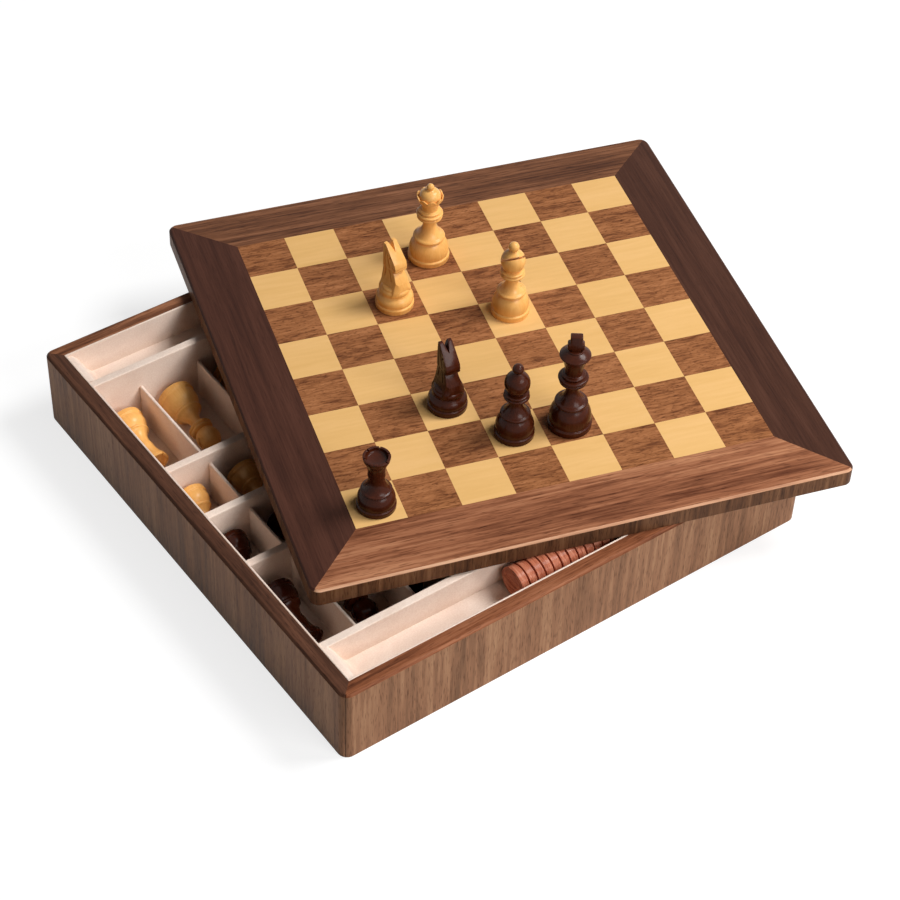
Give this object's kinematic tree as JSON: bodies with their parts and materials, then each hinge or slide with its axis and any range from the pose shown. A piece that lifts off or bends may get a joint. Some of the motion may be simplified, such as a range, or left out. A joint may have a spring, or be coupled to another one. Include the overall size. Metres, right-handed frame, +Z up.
{
  "type": "chess box with lift-off board",
  "caption": "Square veneered box for chess and draughts, with suede-lined compartments for the men and a lift-off lid that is an inlaid chessboard, lying askew with men standing on it.",
  "frame": {"origin": "middle of the case's underside, on the surface that it stands on", "axes": "+X to the right along the case's front wall, +Y from the front wall to the back wall, +Z up"},
  "size_m": [0.5051, 0.4778, 0.1595],
  "materials": {
    "upright_walnut_veneer": "walnut veneer with upright grain, satin lacquer",
    "walnut_strip": "solid walnut, long grain, satin lacquer",
    "plain_walnut_panel": "plain veneered panel, unpolished",
    "light_square_veneer": "pale veneer, satin lacquer",
    "dark_square_veneer": "walnut veneer, satin lacquer",
    "suede": "short-napped cream suede cloth",
    "dark_man_wood": "stained dark brown, gloss lacquer",
    "light_man_wood": "pale turned wood, satin gloss lacquer",
    "dark_draught_wood": "reddish brown turned wood, satin",
    "light_draught_wood": "pale turned wood, satin"
  },
  "bodies": {
    "case": {"front_wall": "upright_walnut_veneer", "front_rim_strip": "walnut_strip", "front_lining": "suede", "right_wall": "upright_walnut_veneer", "right_rim_strip": "walnut_strip", "right_lining": "suede", "back_wall": "upright_walnut_veneer", "back_rim_strip": "walnut_strip", "back_lining": "suede", "left_wall": "upright_walnut_veneer", "left_rim_strip": "walnut_strip", "left_lining": "suede", "base_panel": "plain_walnut_panel", "floor_lining": "suede", "back_row_divider": "suede", "middle_row_divider": "suede", "front_row_divider": "suede", "back_row_partitions": "suede", "light_pawn_row_partitions": "suede", "dark_pawn_row_partitions": "suede", "front_row_partitions": "suede", "front_trough_divider": "suede", "front_trough_bed": "suede", "back_trough_divider": "suede", "back_trough_bed": "suede", "dark_draughts": "dark_draught_wood", "light_draughts": "light_draught_wood", "stored_right_light_rook": "light_man_wood", "stored_light_bishop": "light_man_wood", "stored_light_knight": "light_man_wood", "stored_light_king": "light_man_wood", "stored_light_pawns": "light_man_wood", "stored_dark_pawns": "dark_man_wood", "stored_dark_bishop": "dark_man_wood", "stored_dark_rook": "dark_man_wood", "stored_dark_knight": "dark_man_wood", "stored_dark_queen": "dark_man_wood"},
    "lid": {"lid_core": "upright_walnut_veneer", "light_squares": "light_square_veneer", "dark_squares": "dark_square_veneer", "front_border_strip": "walnut_strip", "right_border_strip": "walnut_strip", "back_border_strip": "walnut_strip", "left_border_strip": "walnut_strip"},
    "dark_king": {"dark_king": "dark_man_wood"},
    "dark_bishop": {"dark_bishop": "dark_man_wood"},
    "dark_knight": {"dark_knight": "dark_man_wood"},
    "dark_rook": {"dark_rook": "dark_man_wood"},
    "light_queen": {"light_queen": "light_man_wood"},
    "light_bishop": {"light_bishop": "light_man_wood"},
    "light_knight": {"light_knight": "light_man_wood"},
    "stored_left_light_rook": {"stored_left_light_rook": "light_man_wood"},
    "stored_left_light_pawn": {"stored_left_light_pawn": "light_man_wood"},
    "stored_left_dark_pawn": {"stored_left_dark_pawn": "dark_man_wood"}
  },
  "joints": [
    {"name": "lid_lift", "type": "slide", "parent": "case", "child": "lid", "axis": [0, 0, 1], "range_m": [0, 0.15]},
    {"name": "dark_king_lift", "type": "slide", "parent": "lid", "child": "dark_king", "axis": [0, 0, 1], "range_m": [0, 0.12]},
    {"name": "dark_bishop_lift", "type": "slide", "parent": "lid", "child": "dark_bishop", "axis": [0, 0, 1], "range_m": [0, 0.12]},
    {"name": "dark_knight_lift", "type": "slide", "parent": "lid", "child": "dark_knight", "axis": [0, 0, 1], "range_m": [0, 0.12]},
    {"name": "dark_rook_lift", "type": "slide", "parent": "lid", "child": "dark_rook", "axis": [0, 0, 1], "range_m": [0, 0.12]},
    {"name": "light_queen_lift", "type": "slide", "parent": "lid", "child": "light_queen", "axis": [0, 0, 1], "range_m": [0, 0.12]},
    {"name": "light_bishop_lift", "type": "slide", "parent": "lid", "child": "light_bishop", "axis": [0, 0, 1], "range_m": [0, 0.12]},
    {"name": "light_knight_lift", "type": "slide", "parent": "lid", "child": "light_knight", "axis": [0, 0, 1], "range_m": [0, 0.12]},
    {"name": "stored_left_light_rook_lift", "type": "slide", "parent": "case", "child": "stored_left_light_rook", "axis": [0, 0, 1], "range_m": [0, 0.1]},
    {"name": "stored_left_light_pawn_lift", "type": "slide", "parent": "case", "child": "stored_left_light_pawn", "axis": [0, 0, 1], "range_m": [0, 0.1]},
    {"name": "stored_left_dark_pawn_lift", "type": "slide", "parent": "case", "child": "stored_left_dark_pawn", "axis": [0, 0, 1], "range_m": [0, 0.1]}
  ]
}
